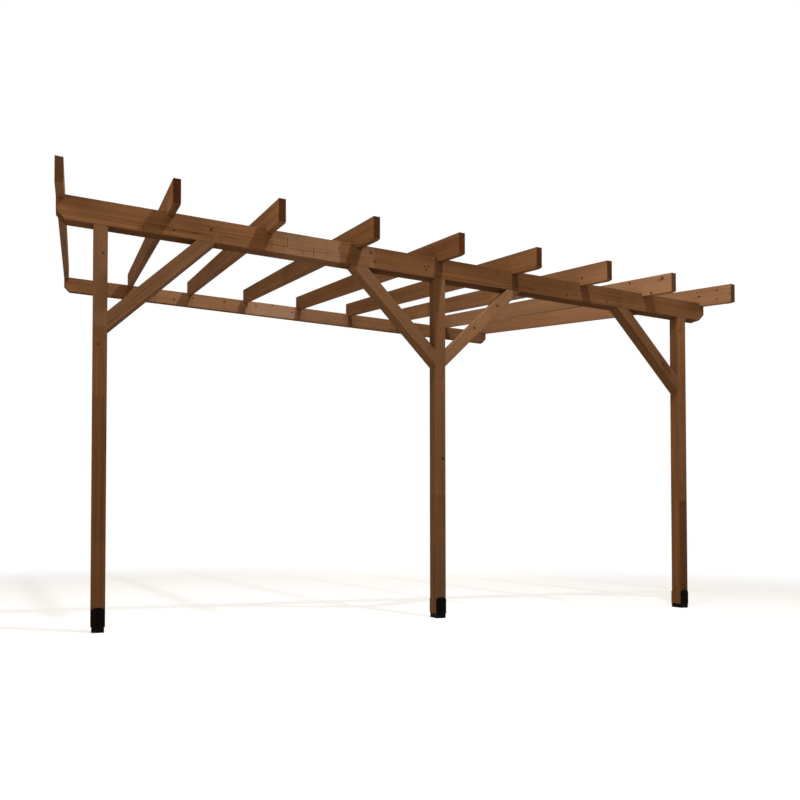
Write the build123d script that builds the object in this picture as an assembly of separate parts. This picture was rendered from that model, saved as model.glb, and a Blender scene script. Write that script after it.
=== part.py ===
"""Open timber lean-to carport frame, in millimetres, +Z up.

The origin is the centre of the wall beam's back face, which is fixed to the house wall.
+X runs along the beams, to the right as seen from the front, and the posts stand towards -Y.
"""

from build123d import *
import math
import os

# Overall frame
beam_length = 5620.0
bay_depth = 3400.0
clear_height = 2652.0
rise = 778.0

# Posts
post_side = 90.0
post_inset = 230.0
post_names = ("left", "centre", "right")

# Front beam and wall beam
front_beam_thick = 90.0
front_beam_height = 160.0
wall_beam_thick = 50.0
wall_beam_height = 160.0
beam_end_chamfer = 55.0

# Rafters
rafter_count = 9
rafter_width = 50.0
rafter_height = 160.0
heel_depth = 27.0
tail_overhang = 305.0
tail_level_cut = 40.0

# Knee braces
brace_thick = 90.0
brace_width = 90.0
brace_drop = 560.0
brace_run = 580.0

# Post feet
foot_seat_height = 36.0
foot_base_width = 78.0
foot_plate_width = 88.0
foot_plate_thick = 5.0
foot_shoulder_height = 146.0
foot_crown_height = 162.0
foot_clearance = 0.5

# Eased edges along the planed timber, and the reach of cuts past a piece
arris_radius = 3.0
overrun = 20.0

# Heights of the frame, from the wall beam's middle down to the ground
wall_top = wall_beam_height / 2
front_top = wall_top - rise
front_bottom = front_top - front_beam_height
ground = front_bottom - clear_height

# Depths of the frame, from the wall outwards
wall_beam_front = -wall_beam_thick
front_face = wall_beam_front - bay_depth
tail_end = front_face - tail_overhang

pitch_tangent = rise / bay_depth
pitch = math.atan(pitch_tangent)


def block(low, high):
    """A box between two opposite corners."""
    size = [b - a for a, b in zip(low, high)]
    middle = [(a + b) / 2 for a, b in zip(low, high)]
    return Pos(*middle) * Box(*size)


def bar(start, end, thick, height):
    """A planed timber with eased edges from start to end, its thickness level."""
    run = Vector(*end) - Vector(*start)
    level = Vector(0, 0, 1).cross(run)
    across = level if level.length > 0 else Vector(1, 0, 0)
    section = Plane(origin=start, x_dir=across, z_dir=run) * RectangleRounded(thick, height, arris_radius)
    return extrude(section, amount=run.length)


def beam(front, thick, top, height):
    """A beam along X with its lower end corners cut off at 45 degrees."""
    half = beam_length / 2
    middle_y = front + thick / 2
    middle_z = top - height / 2
    timber = bar((-half, middle_y, middle_z), (half, middle_y, middle_z), thick, height)
    bottom = top - height
    for side in (-1, 1):
        end = side * half
        corner = Polygon(
            (end + side * overrun, bottom - overrun),
            (end + side * overrun, bottom + beam_end_chamfer + overrun),
            (end - side * (beam_end_chamfer + overrun), bottom - overrun),
            align=None,
        )
        back = Plane.XZ.offset(-(front + thick + overrun))
        timber -= extrude(back * corner, amount=thick + overrun + overrun)
    return timber


def post(x):
    """A square post that stands in its foot and carries the front beam, flush with its front."""
    middle_y = front_face + post_side / 2
    return bar((x, middle_y, ground + foot_seat_height), (x, middle_y, front_bottom), post_side, post_side)


def underside(y):
    """Height of the rafters' lower edge at a depth."""
    return front_top - heel_depth + (y - front_face) * pitch_tangent


def rafter(x):
    """A sloping rafter with a plumb and level cut tail and a bird's mouth over each beam."""
    half = rafter_width / 2
    to_middle = rafter_height / 2 / math.cos(pitch)
    low_y = tail_end - rafter_height
    high_y = rafter_height
    start = (x, low_y, underside(low_y) + to_middle)
    end = (x, high_y, underside(high_y) + to_middle)
    timber = bar(start, end, rafter_width, rafter_height)
    left = x - half - overrun
    right = x + half + overrun
    lowest = underside(low_y) - overrun
    highest = underside(high_y) + 2 * to_middle + overrun
    tail_level = underside(tail_end + tail_level_cut)
    front_back = front_face + front_beam_thick + overrun
    cuts = [
        block((left, low_y - rafter_height, lowest - rafter_height), (right, tail_end, highest)),
        block((left, 0, lowest), (right, high_y + rafter_height, highest + rafter_height)),
        block((left, tail_end - overrun, lowest), (right, tail_end + tail_level_cut, tail_level)),
        block((left, front_face, lowest), (right, front_back, front_top)),
        block((left, wall_beam_front, lowest), (right, high_y, wall_top)),
    ]
    for cut in cuts:
        timber -= cut
    return timber


def brace(post_face, side):
    """A knee brace mitred against a post's side face and the front beam's underside."""
    along = math.hypot(brace_run, brace_drop)
    lean_x = side * brace_run / along
    lean_z = brace_drop / along
    out_x = side * lean_z * brace_width / 2
    out_z = -abs(lean_x) * brace_width / 2
    spare = brace_width * max(brace_run / brace_drop, brace_drop / brace_run) + overrun
    middle_y = front_face + brace_thick / 2
    start = (post_face + out_x - lean_x * spare, middle_y, front_bottom - brace_drop + out_z - lean_z * spare)
    end = (post_face + side * brace_run + out_x + lean_x * spare, middle_y, front_bottom + out_z + lean_z * spare)
    timber = bar(start, end, brace_thick, brace_width)
    far_x = post_face + side * (brace_run + brace_width + spare + overrun)
    low_z = front_bottom - brace_drop - brace_width - spare - overrun
    corner = block(
        (min(post_face, far_x), front_face - overrun, low_z),
        (max(post_face, far_x), front_face + brace_thick + overrun, front_bottom),
    )
    return timber & corner


def foot(x):
    """A steel post foot: a base under the post and an arched plate up its front and back."""
    half_gap = post_side / 2 + foot_clearance
    outer = half_gap + foot_plate_thick
    middle_y = front_face + post_side / 2
    half_base = foot_base_width / 2
    seat = ground + foot_seat_height
    base = block((x - half_base, middle_y - outer, ground), (x + half_base, middle_y + outer, seat))
    half_plate = foot_plate_width / 2
    shoulder = ground + foot_shoulder_height
    sides = Polyline(
        (x + half_plate, shoulder), (x + half_plate, seat), (x - half_plate, seat), (x - half_plate, shoulder)
    )
    arch = ThreePointArc((x - half_plate, shoulder), (x, ground + foot_crown_height), (x + half_plate, shoulder))
    outline = make_face([*sides.edges(), *arch.edges()])
    for inner in (middle_y - half_gap, middle_y + outer):
        base += extrude(Plane.XZ.offset(-inner) * outline, amount=foot_plate_thick)
    return base


def places():
    """Each node's name with its solid."""
    half = beam_length / 2
    outer_post = half - post_inset - post_side / 2
    post_x = dict(zip(post_names, (-outer_post, 0, outer_post)))
    nodes = {
        "front_beam": beam(front_face, front_beam_thick, front_top, front_beam_height),
        "wall_beam": beam(wall_beam_front, wall_beam_thick, wall_top, wall_beam_height),
    }
    for name, x in post_x.items():
        nodes["post_" + name] = post(x)
        nodes["foot_" + name] = foot(x)
    first_rafter = -half + rafter_width / 2
    rafter_spacing = (beam_length - rafter_width) / (rafter_count - 1)
    for number in range(rafter_count):
        nodes[f"rafter_{number + 1}"] = rafter(first_rafter + number * rafter_spacing)
    reach = post_side / 2
    nodes["brace_left"] = brace(post_x["left"] + reach, 1)
    nodes["brace_centre_left"] = brace(post_x["centre"] - reach, -1)
    nodes["brace_centre_right"] = brace(post_x["centre"] + reach, 1)
    nodes["brace_right"] = brace(post_x["right"] - reach, -1)
    return nodes


os.makedirs("parts", exist_ok=True)
for node, solid in places().items():
    export_step(solid, f"parts/{node}.step")
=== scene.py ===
"""Looks of a timber lean-to carport frame: stained timber, black steel feet and small screws.

Metres, in the frame's own axes: +X along the beams, -Y out from the house wall, +Z up.
"""

import math

import bmesh
import bpy
from mathutils import Euler, Matrix, Vector


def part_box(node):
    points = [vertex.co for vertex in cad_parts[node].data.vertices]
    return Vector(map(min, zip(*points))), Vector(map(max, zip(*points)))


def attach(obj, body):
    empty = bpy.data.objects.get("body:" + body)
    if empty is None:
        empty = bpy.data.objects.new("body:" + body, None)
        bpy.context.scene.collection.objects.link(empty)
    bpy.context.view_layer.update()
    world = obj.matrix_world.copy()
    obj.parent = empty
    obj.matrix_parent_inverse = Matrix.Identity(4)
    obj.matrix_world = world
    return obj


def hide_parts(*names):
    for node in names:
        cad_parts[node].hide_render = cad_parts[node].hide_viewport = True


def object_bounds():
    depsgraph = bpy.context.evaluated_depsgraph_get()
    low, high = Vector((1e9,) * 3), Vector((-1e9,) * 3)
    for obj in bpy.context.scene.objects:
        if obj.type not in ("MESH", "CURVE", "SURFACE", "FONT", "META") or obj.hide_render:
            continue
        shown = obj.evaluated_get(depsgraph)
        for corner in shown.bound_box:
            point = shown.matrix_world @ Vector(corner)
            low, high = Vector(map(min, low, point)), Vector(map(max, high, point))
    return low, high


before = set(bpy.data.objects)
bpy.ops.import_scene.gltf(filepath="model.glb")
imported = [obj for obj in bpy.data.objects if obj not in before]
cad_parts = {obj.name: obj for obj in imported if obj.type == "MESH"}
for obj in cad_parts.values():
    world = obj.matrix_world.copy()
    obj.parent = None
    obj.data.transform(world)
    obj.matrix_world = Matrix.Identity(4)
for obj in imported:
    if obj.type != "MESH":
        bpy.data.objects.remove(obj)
cad_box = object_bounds()

# Photograph's camera: place in metres, turns in degrees, the rest in pixels of the square image
CAMERA_PLACE = (-2.6845, -7.8576, -2.9313)
CAMERA_YAW = 19.855
CAMERA_PITCH = 1.066
CAMERA_ROLL = 0.092
IMAGE_SIDE = 800
FOCAL_PIXELS = 650.27
OPTICAL_CENTRE = (308.66, 531.22)

# Width of the camera's sensor, in millimetres, and the turn that lifts its view from the ground to the level
SENSOR_WIDTH = 36.0
LEVEL_TURN = 90.0

# Lamps: name, place, the point it looks at, size, power in watts and colour
LAMPS = (
    ("key_lamp", (0.45, -5.55, 2.93), (-3.5, -1.0, -0.2), 0.30, 280.0, (1.0, 1.04, 1.07)),
    ("top_lamp", (-1.5, -5.0, 4.5), (1.2, -3.0, -0.8), 2.5, 170.0, (1.0, 1.0, 0.97)),
    ("fill_lamp", (-6.5, -8.5, -0.3), (0.0, -2.6, -0.6), 3.5, 250.0, (1.0, 0.94, 0.84)),
    ("side_lamp", (-8.0, -4.0, -2.6), (0.5, -2.2, -0.6), 3.0, 118.0, (1.0, 0.86, 0.70)),
    ("right_lamp", (4.2, -6.2, -0.5), (2.4, -3.4, -0.8), 1.5, 45.0, (1.0, 0.97, 0.92)),
    ("back_lamp", (5.5, 6.5, 0.8), (0.3, -1.5, -0.8), 3.5, 280.0, (1.0, 0.96, 0.90)),
)

# Surroundings: how bright they are straight above, and the colour of the light from them
AMBIENT = 0.28
AMBIENT_COLOUR = (1.0, 0.78, 0.58)
WHITE = (1.0, 1.0, 1.0)
BLACK = (0.0, 0.0, 0.0)

# Floor: pale round the object, and the backdrop's white from there outwards
FLOOR_SIDE = 80.0
FLOOR_DROP = 0.0005
FLOOR_COLOUR = (0.50, 0.49, 0.48)
FLOOR_GLOW = 0.62
FLOOR_FADE = (4.5, 10.0)
FLOOR_ROUGH = 0.9

# Stain colours, and where the first three lie on the scale of shade from 0 to 1
STAIN_DARK = (0.080, 0.033, 0.012)
STAIN_MIDDLE = (0.150, 0.066, 0.026)
STAIN_LIGHT = (0.225, 0.105, 0.045)
# The pale stain stands partly for painted sheen and painted light, where the pale boards lie
STAIN_PALE = (0.318, 0.188, 0.113)
STAIN_KNOT = (0.030, 0.011, 0.005)
STAIN_LINE = (0.040, 0.016, 0.007)
STAIN_RAMP = ((0.05, STAIN_DARK), (0.48, STAIN_MIDDLE), (0.95, STAIN_LIGHT))

# What end grain leaves of the stain's light, while it is brown and once it has gone grey
STAIN_END = (0.40, 0.27, 0.19)
STAIN_END_GREY = (0.25, 0.25, 0.27)

# Timber grain, in metres
RING_WIDTH = 0.0046
RING_WARP = 0.011
PITH_SPREAD = 0.13
BOARD_LENGTH = 0.93
FINGER_PITCH = 0.0075
FINGER_LENGTH = 0.012
JOINT_HALF = 0.0012
CHECK_HALF = 0.0012
CHECK_SPREAD = 0.045
CHECK_WANDER = 0.012
SPLIT_SOFT = 0.0015
KNOT_BULGE = 0.010

# Knots spread by chance: the cell that each lies in, and its radius, a speck's or one that its chance sets
KNOT_CELL = (0.46, 0.14, 0.14)
KNOT_SPECK = 0.0008
KNOT_GROWTH = 0.024
KNOT_LEAST_CHANCE = 0.45

# Waves of noise to the metre, along the grain and both ways across it
RING_WAVES = (1.1, 9.0, 9.0)
STREAK_WAVES = (0.55, 26.0, 26.0)
FIBRE_WAVES = (5.0, 330.0, 330.0)
BLOTCH_WAVES = (1.5, 5.0, 5.0)

# Waves of noise to the metre along a check, where the other two axes only pick a slice of the noise
CHECK_WANDER_WAVES = (2.4, 1.0, 1.0)
CHECK_PATCH_WAVES = (1.7, 1.0, 1.0)
CHECK_PATCH_SLICE = 7.0

# Each timber's seed, and how far it moves the noise and the boards
SEED_FIRST = 1.0
SEED_STEP = 1.37
SEED_NOISE_MOVE = (3.7, 0.61, 1.0)
SEED_BOARD_MOVE = 2.3

# Where each pattern starts and is full; a knot measures 1 at its heart, 0 at its rim and less outside
KNOT_NONE = -9.0
KNOT_HALO = (-1.6, 0.1)
KNOT_CORE = (-0.02, 0.22)
KNOT_RIM_OUTER = (-0.22, 0.0)
KNOT_RIM_INNER = (0.45, 0.05)
LATE_WOOD_START = (0.35, 0.88)
LATE_WOOD_STOP = (1.0, 0.93)
END_FACING = (0.45, 0.85)
SIDE_FACING = (0.6, 0.9)
EDGE_FACING = (0.12, 0.42)
CHECK_PATCH = (0.46, 0.56)
CHECK_MIDDLE_SHARE = 0.62
JOINT_PATCH = (0.42, 0.58)
LINE_CORE_SHARE = 0.4

# Shade of plain stain, and what each pattern adds to it
SHADE_PLAIN = 0.53
SHADE_STREAK = 0.80
SHADE_BLOTCH = 0.45
SHADE_FIBRE = 0.30
SHADE_BOARD = 0.24
SHADE_LATE_WOOD = -0.26
SHADE_HALO = -0.16

# How much of the stain each mark covers
COVER_EDGE = 0.35
COVER_CORE = 0.80
COVER_RIM = 0.75
COVER_CHECK = 0.85
COVER_JOINT = 0.7
COVER_SPLIT = 0.75

# Roughness of plain stain, and what each pattern adds to it
ROUGH_PLAIN = 0.76
ROUGH_FIBRE = 0.24
ROUGH_END = 0.12
ROUGH_CORE = -0.10

# Relief of each pattern, and the strength and the depth in metres of the whole
RELIEF_FIBRE = 0.35
RELIEF_LATE_WOOD = 0.30
RELIEF_MARKS = -1.6
RELIEF_CORE = 0.25
RELIEF_STRENGTH = 0.35
RELIEF_DEPTH = 0.0012

# How much timber and powder coat mirror
SHEEN = 0.02

# How light each timber is drawn: partly how it took the stain, partly painted light that makes the timbers
# to the right lighter
STAIN_AND_LIGHT_TONES = {
    "front_beam": 0.97,
    "wall_beam": 1.02,
    "post_left": 0.82,
    "post_centre": 0.87,
    "post_right": 1.10,
    "brace_left": 0.80,
    "brace_centre_left": 0.81,
    "brace_centre_right": 1.06,
    "brace_right": 1.00,
    "rafter_1": 1.18,
    "rafter_2": 1.22,
    "rafter_3": 1.37,
    "rafter_4": 1.24,
    "rafter_5": 1.30,
    "rafter_6": 1.29,
    "rafter_7": 1.48,
    "rafter_8": 1.55,
    "rafter_9": 1.66,
}

# Painted shade on the front face of a timber: start and end as shares of the length, and what it takes off
# the tone
PAINTED_SHADE_FRONT_SHARES = {"post_right": ((0.0, 0.36, 0.40),)}

# How far a timber's front lies from its middle, as a share of its depth
PAINTED_SHADE_DEPTH_SHARE = 0.45

# How light each end grain took the stain, 1 where it isn't named, and how far it has gone grey
END_TONES = {
    "rafter_2": 0.66,
    "rafter_3": 0.62,
    "rafter_4": 0.70,
    "rafter_5": 0.87,
    "rafter_6": 0.72,
    "rafter_7": 0.80,
}
# rafter_1's end is greyed and left at full tone as painted light from the left
END_GREYS = {"rafter_1": 0.6, "rafter_6": 0.2, "rafter_7": 0.5, "rafter_8": 1.0, "rafter_9": 1.0}

# Paler boards in a timber, partly the stain's own and partly painted light: start and end as shares of the
# length, and how pale each is
# The pale stretches left of the front beam's middle and in the wall beam's middle are also a painted sheen
# and a painted pool of light; the rafters' pale boards hold painted light too
PALE_AND_LIT_SHARES = {
    "front_beam": ((0.258, 0.275, 0.14), (0.275, 0.350, 0.29), (0.374, 0.400, 0.12)),
    "wall_beam": ((0.183, 0.375, 0.20), (0.375, 0.489, 0.62), (0.489, 0.610, 0.26), (0.610, 0.731, 0.12)),
    "post_left": ((0.75, 1.0, 0.14),),
    "post_centre": ((0.0, 0.254, 0.12), (0.254, 1.0, 0.05)),
    "brace_left": ((0.0, 1.0, 0.12),),
    "brace_centre_left": ((0.0, 1.0, 0.14),),
    "brace_centre_right": ((0.0, 1.0, 0.20),),
    "brace_right": ((0.0, 1.0, 0.08),),
    "rafter_1": ((0.0, 1.0, 0.20),),
    "rafter_3": ((0.0, 1.0, 0.05),),
    "rafter_4": ((0.0, 1.0, 0.05),),
    "rafter_5": ((0.0, 1.0, 0.04),),
    "rafter_6": ((0.0, 1.0, 0.06),),
    "rafter_7": ((0.0, 1.0, 0.12),),
    "rafter_8": ((0.0, 1.0, 0.28),),
    "rafter_9": ((0.0, 1.0, 0.20),),
}

# Knots that show: shares of a timber's length and height, and a radius in metres
KNOT_SHARES = {
    "front_beam": (
        (0.133, 0.27, 0.007), (0.178, 0.55, 0.008), (0.394, 0.72, 0.009), (0.399, 0.32, 0.008),
        (0.475, 0.46, 0.006), (0.478, 0.33, 0.007), (0.481, 0.50, 0.005), (0.655, 0.18, 0.005),
        (0.719, 0.21, 0.008), (0.720, 0.74, 0.005), (0.796, 0.22, 0.005),
    ),
    "wall_beam": (
        (0.219, 0.38, 0.011), (0.258, 0.66, 0.010), (0.328, 0.67, 0.011), (0.399, 0.66, 0.010),
        (0.437, 0.92, 0.009), (0.484, 0.53, 0.010), (0.571, 0.27, 0.009), (0.688, 0.25, 0.006),
    ),
    "post_left": ((0.93, 0.30, 0.006), (0.70, 0.60, 0.005)),
    "post_right": ((0.952, 0.84, 0.006), (0.957, 0.70, 0.005)),
    "brace_centre_right": ((0.43, 0.62, 0.009), (0.735, 0.57, 0.010)),
    "brace_right": ((0.30, 0.62, 0.009),),
    "rafter_7": ((0.077, 0.36, 0.009),),
    "rafter_8": ((0.031, 0.78, 0.013), (0.038, 0.71, 0.008), (0.123, 0.84, 0.010), (0.055, 0.10, 0.011)),
    "rafter_9": ((0.086, 0.54, 0.010), (0.037, 0.27, 0.007), (0.042, 0.76, 0.008)),
}

# Open joints and splits that show: shares of a timber's length and height, and half their own in metres
SPLIT_SHARES = {
    "front_beam": (
        (0.097, 0.16, 0.0020, 0.018), (0.178, 0.18, 0.0020, 0.018), (0.190, 0.19, 0.0020, 0.026),
        (0.276, 0.54, 0.0030, 0.032), (0.312, 0.24, 0.0030, 0.031), (0.297, 0.18, 0.0020, 0.020),
        (0.348, 0.64, 0.0040, 0.024), (0.593, 0.77, 0.0045, 0.016), (0.795, 0.19, 0.0025, 0.016),
        (0.085, 0.30, 0.0500, 0.002), (0.166, 0.27, 0.0600, 0.002), (0.203, 0.34, 0.0550, 0.002),
        (0.264, 0.33, 0.0750, 0.002), (0.295, 0.29, 0.0900, 0.002), (0.324, 0.33, 0.0550, 0.002),
    ),
}

# Black powder coat, and the dust on it near the ground
COAT_RAMP = ((0.30, (0.0024, 0.0016, 0.0012)), (0.75, (0.0050, 0.0036, 0.0028)))
COAT_CLOUD_WAVES = (38.0, 38.0, 38.0)
COAT_ROUGH = 0.40
COAT_ROUGH_CLOUD = 0.16
PEEL_WAVES = (700.0, 700.0, 700.0)
PEEL_STRENGTH = 0.25
PEEL_DEPTH = 0.0004
DUST_COLOUR = (0.040, 0.030, 0.022)
DUST_RISE = 0.045
DUST_PATCH = (0.45, 0.75)
DUST_COVER = 0.5
DUST_ROUGH = 0.3

# Bronze coat of the timber screws
BRONZE_RAMP = ((0.35, (0.050, 0.026, 0.013)), (0.70, (0.120, 0.070, 0.038)))
BRONZE_METAL = 0.8
BRONZE_ROUGH = 0.32
BRONZE_ROUGH_RUB = 0.22
RUB_WAVES = (420.0, 420.0, 420.0)
RUB_STRENGTH = 0.15
RUB_DEPTH = 0.0003

# Hexagon screws of the feet, in metres, with their bevels as shares
FOOT_SCREW_RISE = (0.068, 0.118)
WASHER_RADIUS = 0.0115
WASHER_THICK = 0.002
WASHER_BEVEL_START_SHARE = 0.7
WASHER_TOP_SHARE = 0.94
HEX_SIDES = 6
HEX_FLATS = 0.013
HEX_HEIGHT = 0.0055
HEX_SEAT_SHARE = 0.9
HEX_BEVEL_SHARE = 0.15
HEX_TOP_SHARE = 0.84

# Flat-headed timber screws, in metres, with the head's radius and height at each outline as shares
PLATE_HEAD_RADIUS = 0.0085
PLATE_HEAD_THICK = 0.0026
PLATE_HEAD_RECESS = 0.0014
PLATE_HEAD_FOOT_SHARE = 0.97
PLATE_HEAD_SHARES = ((1.0, 0.35), (0.93, 0.80), (0.70, 1.0))
STAR_RADIUS = 0.0036
STAR_FOOT_SHARE = 0.92
STAR_DEPTH_SHARE = 0.20
STAR_LOBES = 6
BRACE_SCREW_INSET = 0.105
BRACE_SCREW_PITCH = 0.045

# How deep any screw's head sits in its face, and the points round it
SCREW_SINK = 0.0004
ROUND_STEPS = 24

# The cut at a beam's lower left end, and how its mesh is welded and shaded
BEAM_END_CUT = 0.055
WELD = 2e-5
SHARP_ANGLE = math.radians(35)

# The beams, and the braces that rise to the right
BEAMS = ("front_beam", "wall_beam")
BRACES_TO_RIGHT = ("brace_left", "brace_centre_right")

# Where a mix node has its two colours, and the colour that comes out
MIX_COLOURS_IN = slice(6, 8)
MIX_COLOUR_OUT = 2

# Inputs of the groups that draw one knot or one split
MARK_INPUTS = (("Place", "Vector"), ("Along", "Float"), ("Up", "Float"), ("Others", "Float"))


class NodeNet:
    """Writes a node tree as plain calls that return sockets."""

    def __init__(self, tree):
        self.tree = tree

    def add(self, kind, **settings):
        """A new node with some of its settings."""
        made = self.tree.nodes.new(kind)
        for name, value in settings.items():
            setattr(made, name, value)
        return made

    def feed(self, socket, value):
        """Links an input to another socket, or sets it to a constant value."""
        if isinstance(value, bpy.types.NodeSocket):
            self.tree.links.new(value, socket)
        else:
            socket.default_value = value

    def fill(self, made, values):
        """Feeds a node's inputs in their order, and returns its first output."""
        for socket, value in zip(made.inputs, values):
            self.feed(socket, value)
        return made.outputs[0]

    def math(self, operation, *values):
        """One operation on numbers."""
        return self.fill(self.add("ShaderNodeMath", operation=operation), values)

    def times(self, first, *others):
        """The product of some numbers."""
        for value in others:
            first = self.math("MULTIPLY", first, value)
        return first

    def plus(self, first, *others):
        """The total of some numbers."""
        for value in others:
            first = self.math("ADD", first, value)
        return first

    def minus(self, first, second):
        """The difference of two numbers."""
        return self.math("SUBTRACT", first, second)

    def swing(self, value, reach):
        """A number from 0 to 1 as one that goes half the reach to either side of 0."""
        return self.times(self.minus(value, 0.5), reach)

    def vector(self, operation, *values):
        """One operation on vectors that gives a vector."""
        return self.fill(self.add("ShaderNodeVectorMath", operation=operation), values)

    def length(self, value):
        """The length of a vector."""
        made = self.add("ShaderNodeVectorMath", operation="LENGTH")
        self.feed(made.inputs[0], value)
        return made.outputs["Value"]

    def split(self, value):
        """The three numbers of a vector."""
        made = self.add("ShaderNodeSeparateXYZ")
        self.feed(made.inputs[0], value)
        return made.outputs

    def join(self, x, y, z):
        """A vector from three numbers."""
        return self.fill(self.add("ShaderNodeCombineXYZ"), (x, y, z))

    def step(self, value, low, high):
        """0 at low, 1 at high, with a smooth change between; low may be above high."""
        made = self.add("ShaderNodeMapRange", interpolation_type="SMOOTHSTEP")
        start, end = sorted((low, high))
        rising = low <= high
        return self.fill(made, (value, start, end, 0.0 if rising else 1.0, 1.0 if rising else 0.0))

    def noise(self, place, waves, detail=2.0, roughness=0.5):
        """Soft noise with so many waves to the metre each way: first its value, then its colour."""
        made = self.add("ShaderNodeTexNoise", noise_dimensions="3D")
        self.feed(made.inputs["Vector"], self.vector("MULTIPLY", place, waves))
        self.feed(made.inputs["Scale"], 1.0)
        self.feed(made.inputs["Detail"], detail)
        self.feed(made.inputs["Roughness"], roughness)
        return made.outputs

    def mix(self, share, first, second, blend="MIX"):
        """A share of the second colour laid over the first."""
        made = self.add("ShaderNodeMix", data_type="RGBA", blend_type=blend)
        self.feed(made.inputs[0], share)
        for socket, value in zip(made.inputs[MIX_COLOURS_IN], (first, second)):
            self.feed(socket, value if isinstance(value, bpy.types.NodeSocket) else (*value, 1.0))
        return made.outputs[MIX_COLOUR_OUT]

    def ramp(self, value, colours):
        """A colour from a scale of places and colours."""
        made = self.add("ShaderNodeValToRGB")
        self.feed(made.inputs[0], value)
        elements = made.color_ramp.elements
        while len(elements) < len(colours):
            elements.new(0.5)
        for element, (place, colour) in zip(elements, colours):
            element.position = place
            element.color = (*colour, 1.0)
        return made.outputs[0]


def named(start):
    """The names of the frame's nodes that start with a word, in order."""
    return sorted(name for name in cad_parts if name.startswith(start))


def add_object(name, data):
    """A new object in the scene."""
    made = bpy.data.objects.new(name, data)
    bpy.context.scene.collection.objects.link(made)
    return made


def finished_mesh(name, shape):
    """A mesh from a shape that is done with."""
    data = bpy.data.meshes.new(name)
    shape.to_mesh(data)
    shape.free()
    return data


def wear(data, material):
    """Gives a mesh one material."""
    data.materials.clear()
    data.materials.append(material)


def new_group(name, inputs, outputs):
    """A node group with its net, its input sockets and its output sockets."""
    group = bpy.data.node_groups.new(name, "ShaderNodeTree")
    for label, kind in inputs:
        group.interface.new_socket(label, in_out="INPUT", socket_type="NodeSocket" + kind)
    for label, kind in outputs:
        group.interface.new_socket(label, in_out="OUTPUT", socket_type="NodeSocket" + kind)
    net = NodeNet(group)
    return group, net, net.add("NodeGroupInput").outputs, net.add("NodeGroupOutput").inputs


def new_material(name):
    """An empty material with its net and its shader."""
    material = bpy.data.materials.new(name)
    material.use_nodes = True
    material.node_tree.nodes.clear()
    net = NodeNet(material.node_tree)
    shader = net.add("ShaderNodeBsdfPrincipled")
    net.feed(net.add("ShaderNodeOutputMaterial").inputs["Surface"], shader.outputs[0])
    return material, net, shader


def bump(net, shader, height, strength, depth):
    """Gives a shader relief from a height."""
    made = net.add("ShaderNodeBump")
    net.feed(made.inputs["Strength"], strength)
    net.feed(made.inputs["Distance"], depth)
    net.feed(made.inputs["Height"], height)
    net.feed(shader.inputs["Normal"], made.outputs[0])


def knot_group():
    """How near a place is to one knot that runs through the timber: 1 at its heart, 0 at its rim."""
    inputs = (*MARK_INPUTS, ("Radius", "Float"))
    group, net, given, out = new_group("timber_knot", inputs, (("Knot", "Float"),))
    along, _, up = net.split(given["Place"])
    away = net.length(net.join(net.minus(along, given["Along"]), net.minus(up, given["Up"]), 0.0))
    near = net.minus(1.0, net.math("DIVIDE", away, given["Radius"]))
    net.feed(out["Knot"], net.math("MAXIMUM", near, given["Others"]))
    return group


def split_group():
    """How far a place lies in one open joint or split of the timber's face: 1 inside, 0 outside."""
    inputs = (*MARK_INPUTS, ("Half Length", "Float"), ("Half Height", "Float"))
    group, net, given, out = new_group("timber_split", inputs, (("Split", "Float"),))
    along, _, up = net.split(given["Place"])
    inside = []
    for place, middle, half in ((along, "Along", "Half Length"), (up, "Up", "Half Height")):
        away = net.math("ABSOLUTE", net.minus(place, given[middle]))
        inside.append(net.step(net.minus(away, given[half]), SPLIT_SOFT / 2, -SPLIT_SOFT / 2))
    net.feed(out["Split"], net.math("MAXIMUM", net.times(*inside), given["Others"]))
    return group


def scattered_knots(net, place):
    """Small knots spread through a timber by chance, in the same measure as the placed ones."""
    spread = net.vector("MULTIPLY", place, [1.0 / size for size in KNOT_CELL])
    cells = net.add("ShaderNodeTexVoronoi", voronoi_dimensions="3D", feature="F1")
    net.feed(cells.inputs["Vector"], spread)
    net.feed(cells.inputs["Scale"], 1.0)
    offset = net.vector("MULTIPLY", net.vector("SUBTRACT", spread, cells.outputs["Position"]), KNOT_CELL)
    chance = net.split(cells.outputs["Color"])[0]
    grown = net.times(net.minus(chance, KNOT_LEAST_CHANCE), KNOT_GROWTH)
    radius = net.math("MAXIMUM", grown, KNOT_SPECK)
    return net.minus(1.0, net.math("DIVIDE", net.length(offset), radius))


def finger_run(net, place):
    """How far along a timber a place lies, shifted by the teeth of the finger joints."""
    along, _, up = net.split(place)
    teeth = net.times(net.math("PINGPONG", up, FINGER_PITCH / 2), 2 * FINGER_LENGTH / FINGER_PITCH)
    return net.plus(along, teeth)


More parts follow.
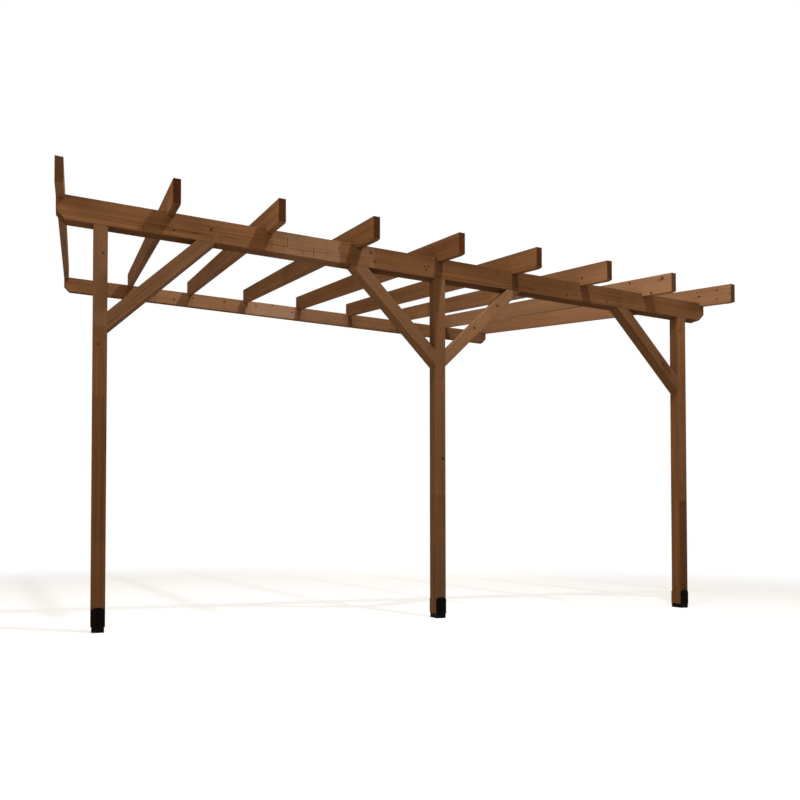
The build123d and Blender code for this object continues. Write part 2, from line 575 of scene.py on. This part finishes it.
def timber_group():
    """Stained, finger-jointed softwood: growth rings, streaks, knots, drying checks and end grain."""
    group, net, given, out = new_group(
        "stained_timber",
        (
            ("Place", "Vector"), ("Facing", "Vector"), ("Knot", "Float"), ("Split", "Float"),
            ("Pale", "Float"), ("Seed", "Float"), ("Tone", "Float"), ("End Stain", "Color"),
        ),
        (("Color", "Color"), ("Roughness", "Float"), ("Height", "Float")),
    )
    place, seed, tone = given["Place"], given["Seed"], given["Tone"]
    moved = net.vector("ADD", place, net.vector("MULTIPLY", net.join(seed, seed, seed), SEED_NOISE_MOVE))

    # Boards along the timber and the finger joints between them
    run = net.plus(finger_run(net, place), net.times(seed, SEED_BOARD_MOVE))
    board = net.math("DIVIDE", run, BOARD_LENGTH)
    to_joint = net.times(net.math("PINGPONG", board, 0.5), BOARD_LENGTH)
    own = net.add("ShaderNodeTexWhiteNoise", noise_dimensions="3D")
    net.feed(own.inputs["Vector"], net.join(net.math("FLOOR", board), seed, 0.0))
    board_tone, board_spread, board_rise = net.split(own.outputs["Color"])

    # Knots
    knot = net.math("MAXIMUM", given["Knot"], scattered_knots(net, moved))
    halo = net.step(knot, *KNOT_HALO)
    core = net.step(knot, *KNOT_CORE)
    rim = net.times(net.step(knot, *KNOT_RIM_OUTER), net.step(knot, *KNOT_RIM_INNER))

    # Growth rings round a heart that lies elsewhere in each board
    heart = net.join(0.0, net.swing(board_spread, PITH_SPREAD), net.swing(board_rise, PITH_SPREAD))
    waves = net.vector("SUBTRACT", net.noise(moved, RING_WAVES, detail=3.0)["Color"], (0.5, 0.5, 0.5))
    warp = net.vector("MULTIPLY", waves, (0.0, RING_WARP, RING_WARP))
    from_heart = net.vector("ADD", net.vector("SUBTRACT", place, heart), warp)
    radius = net.length(net.vector("MULTIPLY", from_heart, (0.0, 1.0, 1.0)))
    ring = net.math("FRACT", net.math("DIVIDE", net.plus(radius, net.times(halo, KNOT_BULGE)), RING_WIDTH))
    late_wood = net.times(net.step(ring, *LATE_WOOD_START), net.step(ring, *LATE_WOOD_STOP))

    # Streaks, fibres and blotches of stain
    streak = net.noise(moved, STREAK_WAVES, detail=3.0, roughness=0.6)[0]
    fibre = net.noise(moved, FIBRE_WAVES)[0]
    blotch = net.noise(moved, BLOTCH_WAVES)[0]

    # Which way a face looks: along the grain, out to the sides, or round an eased edge
    face_along, face_across, face_up = net.split(net.vector("ABSOLUTE", given["Facing"]))
    end = net.step(face_along, *END_FACING)
    side = net.step(face_across, *SIDE_FACING)
    edge = net.step(net.times(face_across, face_up), *EDGE_FACING)

    # Drying checks along the sides, each board's at a height of its own, and dark finger joints
    wander = net.noise(net.join(run, seed, 0.0), CHECK_WANDER_WAVES)[0]
    height = net.times(net.minus(board_rise, CHECK_MIDDLE_SHARE), CHECK_SPREAD)
    line = net.plus(height, net.swing(wander, CHECK_WANDER))
    gap = net.math("ABSOLUTE", net.minus(net.split(place)[2], line))
    patch = net.noise(net.join(run, CHECK_PATCH_SLICE, seed), CHECK_PATCH_WAVES, detail=1.0)[0]
    thin = net.step(gap, CHECK_HALF, CHECK_HALF * LINE_CORE_SHARE)
    check = net.times(thin, net.step(patch, *CHECK_PATCH), side)
    joint = net.step(to_joint, JOINT_HALF, JOINT_HALF * LINE_CORE_SHARE)
    joint = net.times(joint, net.step(blotch, *JOINT_PATCH))
    marks = net.math("MAXIMUM", net.times(check, COVER_CHECK), net.times(joint, COVER_JOINT))
    marks = net.math("MAXIMUM", marks, net.times(given["Split"], side, COVER_SPLIT))

    # Colour
    shade = net.plus(
        SHADE_PLAIN,
        net.swing(streak, SHADE_STREAK),
        net.swing(blotch, SHADE_BLOTCH),
        net.swing(fibre, SHADE_FIBRE),
        net.swing(board_tone, SHADE_BOARD),
        net.times(late_wood, SHADE_LATE_WOOD),
        net.times(halo, SHADE_HALO),
    )
    # Pale boards: partly stain, partly painted sheen and painted light
    colour = net.mix(given["Pale"], net.ramp(shade, STAIN_RAMP), STAIN_PALE)
    colour = net.mix(end, colour, net.mix(1.0, colour, given["End Stain"], "MULTIPLY"))
    colour = net.mix(net.times(edge, COVER_EDGE), colour, STAIN_LIGHT)
    colour = net.mix(net.times(core, COVER_CORE), colour, STAIN_KNOT)
    colour = net.mix(net.times(rim, COVER_RIM), colour, STAIN_KNOT)
    # The tone is partly stain and partly painted light, and holds painted shade on post_right's front
    toned = net.vector("MULTIPLY", colour, net.join(tone, tone, tone))
    net.feed(out["Color"], net.mix(marks, toned, STAIN_LINE))

    # Roughness and relief
    rough = net.plus(
        ROUGH_PLAIN, net.swing(fibre, ROUGH_FIBRE), net.times(end, ROUGH_END), net.times(core, ROUGH_CORE)
    )
    net.feed(out["Roughness"], rough)
    relief = net.plus(
        net.times(fibre, RELIEF_FIBRE),
        net.times(late_wood, RELIEF_LATE_WOOD),
        net.times(marks, RELIEF_MARKS),
        net.times(core, RELIEF_CORE),
    )
    net.feed(out["Height"], relief)
    return group


def grain_turn(name):
    """The turn that lays a timber's length along X."""
    if name.startswith("post"):
        return Euler((0.0, math.pi / 2, 0.0))
    if name.startswith("rafter"):
        front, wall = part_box("front_beam"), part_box("wall_beam")
        pitch = math.atan2(wall[1].z - front[1].z, wall[0].y - front[0].y)
        return Euler((-pitch, 0.0, -math.pi / 2))
    if name.startswith("brace"):
        low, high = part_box(name)
        lean = math.atan2(high.z - low.z, high.x - low.x)
        return Euler((0.0, lean if name in BRACES_TO_RIGHT else math.pi - lean, 0.0))
    return Euler((0.0, 0.0, 0.0))


def timber_space(name):
    """A timber's turn, and the lowest and highest corner of its own box along its length."""
    turn = grain_turn(name)
    matrix = turn.to_matrix()
    points = [matrix @ vertex.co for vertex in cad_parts[name].data.vertices]
    low = Vector([min(point[axis] for point in points) for axis in range(3)])
    high = Vector([max(point[axis] for point in points) for axis in range(3)])
    return turn, low, high


def placed_marks(net, group, place, size, shares, nothing):
    """A timber's knots or splits in a row, each giving the larger of itself and those before it."""
    found = nothing
    for along_share, up_share, *measures in shares:
        mark = net.add("ShaderNodeGroup", node_tree=group)
        along = (along_share - 0.5) * size.x
        up = (up_share - 0.5) * size.z
        found = net.fill(mark, (place, along, up, found, *measures))
    return found


def along_boards_and_painted_light(net, run, length, shares):
    """What a timber's boards of stain and its stretches of painted light and painted shade add where they
    lie along its length.
    """
    total = 0.0
    for start_share, end_share, amount in shares:
        after_start = net.math("GREATER_THAN", run, (start_share - 0.5) * length)
        before_end = net.math("LESS_THAN", run, (end_share - 0.5) * length)
        total = net.plus(total, net.times(after_start, before_end, amount))
    return total


def timber_material(name, number, timber, knot, split):
    """One timber's stain, with the grain along its length and its own boards, knots and splits, and the
    painted light and painted shade that its tone and pale boards carry.
    """
    material, net, shader = new_material("timber_" + name)
    turn, low, high = timber_space(name)
    size = high - low
    mapped = net.add("ShaderNodeMapping", vector_type="POINT")
    net.feed(mapped.inputs["Vector"], net.add("ShaderNodeTexCoord").outputs["Object"])
    net.feed(mapped.inputs["Location"], -(low + high) / 2)
    net.feed(mapped.inputs["Rotation"], turn)
    place = mapped.outputs[0]
    facing = net.add("ShaderNodeMapping", vector_type="VECTOR")
    net.feed(facing.inputs["Vector"], net.add("ShaderNodeNewGeometry").outputs["Normal"])
    net.feed(facing.inputs["Rotation"], turn)

    run = finger_run(net, place)
    tone = STAIN_AND_LIGHT_TONES[name]
    # Painted shade: the front face's stretches given above lose some of their tone
    if name in PAINTED_SHADE_FRONT_SHARES:
        front = net.math("LESS_THAN", net.split(place)[1], -size.y * PAINTED_SHADE_DEPTH_SHARE)
        tone = net.minus(tone, net.times(along_boards_and_painted_light(net, run, size.x, PAINTED_SHADE_FRONT_SHARES[name]), front))
    end_stain = Vector(STAIN_END).lerp(Vector(STAIN_END_GREY), END_GREYS.get(name, 0.0))
    settings = {
        "Place": place,
        "Facing": facing.outputs[0],
        "Knot": placed_marks(net, knot, place, size, KNOT_SHARES.get(name, ()), KNOT_NONE),
        "Split": placed_marks(net, split, place, size, SPLIT_SHARES.get(name, ()), 0.0),
        "Pale": along_boards_and_painted_light(net, run, size.x, PALE_AND_LIT_SHARES.get(name, ())),
        "Seed": SEED_FIRST + SEED_STEP * number,
        "Tone": tone,
        "End Stain": (*(end_stain * END_TONES.get(name, 1.0)), 1.0),
    }
    wood = net.add("ShaderNodeGroup", node_tree=timber)
    for label, value in settings.items():
        net.feed(wood.inputs[label], value)
    net.feed(shader.inputs["Base Color"], wood.outputs["Color"])
    net.feed(shader.inputs["Roughness"], wood.outputs["Roughness"])
    net.feed(shader.inputs["Specular IOR Level"], SHEEN)
    bump(net, shader, wood.outputs["Height"], RELIEF_STRENGTH, RELIEF_DEPTH)
    return material


def steel_material():
    """Black powder coat with a fine orange peel and a little dust near the ground."""
    material, net, shader = new_material("black_powder_coat")
    place = net.add("ShaderNodeTexCoord").outputs["Object"]
    peel = net.noise(place, PEEL_WAVES)[0]
    cloud = net.noise(place, COAT_CLOUD_WAVES, detail=4.0)[0]
    ground = cad_box[0].z
    low_down = net.step(net.split(place)[2], ground + DUST_RISE, ground)
    dust = net.times(low_down, net.step(cloud, *DUST_PATCH))
    coat = net.mix(net.times(dust, DUST_COVER), net.ramp(cloud, COAT_RAMP), DUST_COLOUR)
    net.feed(shader.inputs["Base Color"], coat)
    rough = net.plus(COAT_ROUGH, net.times(cloud, COAT_ROUGH_CLOUD), net.times(dust, DUST_ROUGH))
    net.feed(shader.inputs["Roughness"], rough)
    net.feed(shader.inputs["Specular IOR Level"], SHEEN)
    bump(net, shader, peel, PEEL_STRENGTH, PEEL_DEPTH)
    return material


def screw_material():
    """Dark bronze coating on the timber screws, rubbed brighter in places."""
    material, net, shader = new_material("bronze_screw_coat")
    rub = net.noise(net.add("ShaderNodeTexCoord").outputs["Object"], RUB_WAVES, detail=3.0)[0]
    net.feed(shader.inputs["Base Color"], net.ramp(rub, BRONZE_RAMP))
    net.feed(shader.inputs["Metallic"], BRONZE_METAL)
    net.feed(shader.inputs["Roughness"], net.plus(BRONZE_ROUGH, net.times(rub, BRONZE_ROUGH_RUB)))
    bump(net, shader, rub, RUB_STRENGTH, RUB_DEPTH)
    return material


def stand(place, axis):
    """Places a screw that is made along +Z so that it stands on a face and looks along axis."""
    return Matrix.Translation(place) @ Vector(axis).to_track_quat("Z", "Y").to_matrix().to_4x4()


def rings(shape, outlines, where):
    """Closes a stack of outlines, from the lowest to the highest, into one solid."""
    loops = []
    for outline in outlines:
        loops.append([shape.verts.new(where @ Vector(point)) for point in outline])
    for lower, upper in zip(loops, loops[1:]):
        count = len(lower)
        for i in range(count):
            following = (i + 1) % count
            shape.faces.new((lower[i], lower[following], upper[following], upper[i]))
    shape.faces.new(list(reversed(loops[0])))
    shape.faces.new(loops[-1])


def circle(radius, height, count=ROUND_STEPS, wave=0.0):
    """Points round a circle, or round a star with soft lobes where wave isn't zero."""
    points = []
    for i in range(count):
        turn = 2 * math.pi * i / count
        reach = radius * (1 + wave * math.cos(STAR_LOBES * turn))
        points.append((reach * math.cos(turn), reach * math.sin(turn), height))
    return points


def hex_screw(shape, where):
    """A hexagon head on a washer."""
    washer = [
        circle(WASHER_RADIUS, -SCREW_SINK),
        circle(WASHER_RADIUS, WASHER_BEVEL_START_SHARE * WASHER_THICK),
        circle(WASHER_TOP_SHARE * WASHER_RADIUS, WASHER_THICK),
    ]
    rings(shape, washer, where)
    corner = HEX_FLATS / math.sqrt(3)
    top = WASHER_THICK + HEX_HEIGHT
    head = [
        circle(corner, HEX_SEAT_SHARE * WASHER_THICK, HEX_SIDES),
        circle(corner, top - HEX_BEVEL_SHARE * HEX_HEIGHT, HEX_SIDES),
        circle(HEX_TOP_SHARE * corner, top, HEX_SIDES),
    ]
    rings(shape, head, where)


def plate_screw(shape, where):
    """A flat round head with a star recess."""
    outlines = [circle(PLATE_HEAD_FOOT_SHARE * PLATE_HEAD_RADIUS, -SCREW_SINK)]
    for radius_share, height_share in PLATE_HEAD_SHARES:
        outlines.append(circle(radius_share * PLATE_HEAD_RADIUS, height_share * PLATE_HEAD_THICK))
    star_floor = PLATE_HEAD_THICK - PLATE_HEAD_RECESS
    outlines.append(circle(STAR_RADIUS, PLATE_HEAD_THICK, wave=STAR_DEPTH_SHARE))
    outlines.append(circle(STAR_FOOT_SHARE * STAR_RADIUS, star_floor, wave=STAR_DEPTH_SHARE))
    rings(shape, outlines, where)


def screws_piece(name, make, places, material):
    """Many screws as one piece."""
    shape = bmesh.new()
    for place, axis in places:
        make(shape, stand(place, axis))
    piece = add_object(name, finished_mesh(name, shape))
    wear(piece.data, material)
    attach(piece, "root")


def foot_screw_places(foot):
    """Two screws through each plate of a foot."""
    low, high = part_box(foot)
    x = (low.x + high.x) / 2
    places = []
    for rise in FOOT_SCREW_RISE:
        for y, out in ((low.y, -1), (high.y, 1)):
            places.append((Vector((x, y, low.z + rise)), (0, out, 0)))
    return places


def rafter_screw_places():
    """One screw down through each rafter over each beam."""
    places = []
    for name in named("rafter"):
        turn, low, high = timber_space(name)
        matrix = turn.to_matrix()
        back = matrix.inverted()
        middle = (low.y + high.y) / 2
        for beam in BEAMS:
            seat = (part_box(beam)[0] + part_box(beam)[1]) / 2
            along = (matrix @ Vector((0.0, seat.y, seat.z))).x
            places.append((back @ Vector((along, middle, high.z)), back @ Vector((0, 0, 1))))
    return places


def brace_screw_places():
    """Two screws up through each end of each brace."""
    places = []
    for name in named("brace"):
        turn, low, high = timber_space(name)
        back = turn.to_matrix().inverted()
        out, face = (-1, low.z) if name in BRACES_TO_RIGHT else (1, high.z)
        middle = (low.y + high.y) / 2
        for along in (low.x + BRACE_SCREW_INSET, high.x - BRACE_SCREW_INSET):
            for aside in (-BRACE_SCREW_PITCH / 2, BRACE_SCREW_PITCH / 2):
                places.append((back @ Vector((along, middle + aside, face)), back @ Vector((0, 0, out))))
    return places


def cut_left_corner(name):
    """Stands for a beam, with its lower left corner cut off at 45 degrees as its lower right one is."""
    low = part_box(name)[0]
    shape = bmesh.new()
    shape.from_mesh(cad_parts[name].data)
    bmesh.ops.remove_doubles(shape, verts=shape.verts, dist=WELD)
    everything = [*shape.verts, *shape.edges, *shape.faces]
    corner = Vector((low.x + BEAM_END_CUT, low.y, low.z))
    outwards = Vector((-1, 0, -1))
    bmesh.ops.bisect_plane(shape, geom=everything, plane_co=corner, plane_no=outwards, clear_outer=True)
    bmesh.ops.remove_doubles(shape, verts=shape.verts, dist=WELD)
    bmesh.ops.holes_fill(shape, edges=[edge for edge in shape.edges if edge.is_boundary])
    for face in shape.faces:
        face.smooth = True
    data = finished_mesh(name + "_cut", shape)
    if "custom_normal" in data.attributes:
        data.attributes.remove(data.attributes["custom_normal"])
    data.set_sharp_from_angle(angle=SHARP_ANGLE)
    piece = add_object(name + "_cut", data)
    piece.modifiers.new("even_shading", "WEIGHTED_NORMAL").keep_sharp = True
    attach(piece, "root")
    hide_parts(name)
    return piece


def dress_timber():
    """Gives every timber its own stain."""
    timber, knot, split = timber_group(), knot_group(), split_group()
    shown = dict(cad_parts)
    for name in BEAMS:
        shown[name] = cut_left_corner(name)
    for number, name in enumerate(sorted(STAIN_AND_LIGHT_TONES)):
        wear(shown[name].data, timber_material(name, number, timber, knot, split))


def dress_steel():
    """Black feet with their screws, and the timber screws."""
    steel = steel_material()
    for foot in named("foot"):
        wear(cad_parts[foot].data, steel)
        screws_piece(foot + "_screws", hex_screw, foot_screw_places(foot), steel)
    bronze = screw_material()
    screws_piece("rafter_screws", plate_screw, rafter_screw_places(), bronze)
    screws_piece("brace_screws", plate_screw, brace_screw_places(), bronze)


def seen_or_mirrored(net):
    """1 for what the camera sees, directly or in metal or glass, and 0 for light that lands on things."""
    path = net.add("ShaderNodeLightPath")
    shown = net.math("MAXIMUM", path.outputs["Is Camera Ray"], path.outputs["Is Glossy Ray"])
    return net.math("MAXIMUM", shown, path.outputs["Is Transmission Ray"])


def make_floor():
    """A plain pale floor that keeps the shadow."""
    middle = (cad_box[0] + cad_box[1]) / 2
    centre = Vector((middle.x, middle.y, cad_box[0].z - FLOOR_DROP))
    reach = FLOOR_SIDE / 2
    shape = bmesh.new()
    corners = ((-reach, -reach), (reach, -reach), (reach, reach), (-reach, reach))
    shape.faces.new([shape.verts.new(centre + Vector((x, y, 0.0))) for x, y in corners])
    floor = add_object("floor", finished_mesh("floor", shape))
    material, net, shader = new_material("pale_floor")
    place = net.add("ShaderNodeTexCoord").outputs["Object"]
    away = net.length(net.vector("SUBTRACT", place, centre))
    shown = seen_or_mirrored(net)
    far = net.times(net.step(away, *FLOOR_FADE), shown)
    net.feed(shader.inputs["Base Color"], net.mix(far, FLOOR_COLOUR, BLACK))
    net.feed(shader.inputs["Roughness"], FLOOR_ROUGH)
    net.feed(shader.inputs["Specular IOR Level"], 0.0)
    net.feed(shader.inputs["Emission Color"], (*WHITE, 1.0))
    glow = net.plus(FLOOR_GLOW, net.times(far, 1.0 - FLOOR_GLOW))
    net.feed(shader.inputs["Emission Strength"], net.times(shown, glow))
    wear(floor.data, material)


def make_world():
    """White surroundings that light the object softly."""
    world = bpy.data.worlds.new("studio")
    world.use_nodes = True
    world.node_tree.nodes.clear()
    net = NodeNet(world.node_tree)
    back = net.add("ShaderNodeBackground")
    shown = seen_or_mirrored(net)
    net.feed(back.inputs["Color"], net.mix(shown, AMBIENT_COLOUR, WHITE))
    upward = net.split(net.add("ShaderNodeTexCoord").outputs["Generated"])[2]
    ambient = net.times(net.plus(upward, 1.0), AMBIENT / 2)
    net.feed(back.inputs["Strength"], net.plus(shown, net.times(net.minus(1.0, shown), ambient)))
    net.feed(net.add("ShaderNodeOutputWorld").inputs["Surface"], back.outputs[0])
    bpy.context.scene.world = world


def make_lamp(name, place, aim, size, power, colour):
    """A square soft lamp that looks at a point."""
    data = bpy.data.lights.new(name, "AREA")
    data.size = size
    data.energy = power
    data.color = colour
    lamp = add_object(name, data)
    lamp.location = place
    lamp.rotation_euler = (Vector(aim) - Vector(place)).to_track_quat("-Z", "Y").to_euler()


def make_camera():
    """The photograph's camera, with its optical centre where the photograph has it."""
    data = bpy.data.cameras.new("camera")
    data.sensor_width = SENSOR_WIDTH
    data.lens = SENSOR_WIDTH * FOCAL_PIXELS / IMAGE_SIDE
    data.shift_x = 0.5 - OPTICAL_CENTRE[0] / IMAGE_SIDE
    data.shift_y = OPTICAL_CENTRE[1] / IMAGE_SIDE - 0.5
    camera = add_object("camera", data)
    yaw = Matrix.Rotation(math.radians(-CAMERA_YAW), 4, "Z")
    pitch = Matrix.Rotation(math.radians(LEVEL_TURN + CAMERA_PITCH), 4, "X")
    roll = Matrix.Rotation(math.radians(CAMERA_ROLL), 4, "Z")
    camera.matrix_world = Matrix.Translation(CAMERA_PLACE) @ yaw @ pitch @ roll
    bpy.context.scene.camera = camera


dress_timber()
dress_steel()
make_floor()
make_world()
for lamp in LAMPS:
    make_lamp(*lamp)
make_camera()
bpy.context.scene.view_settings.view_transform = "Standard"
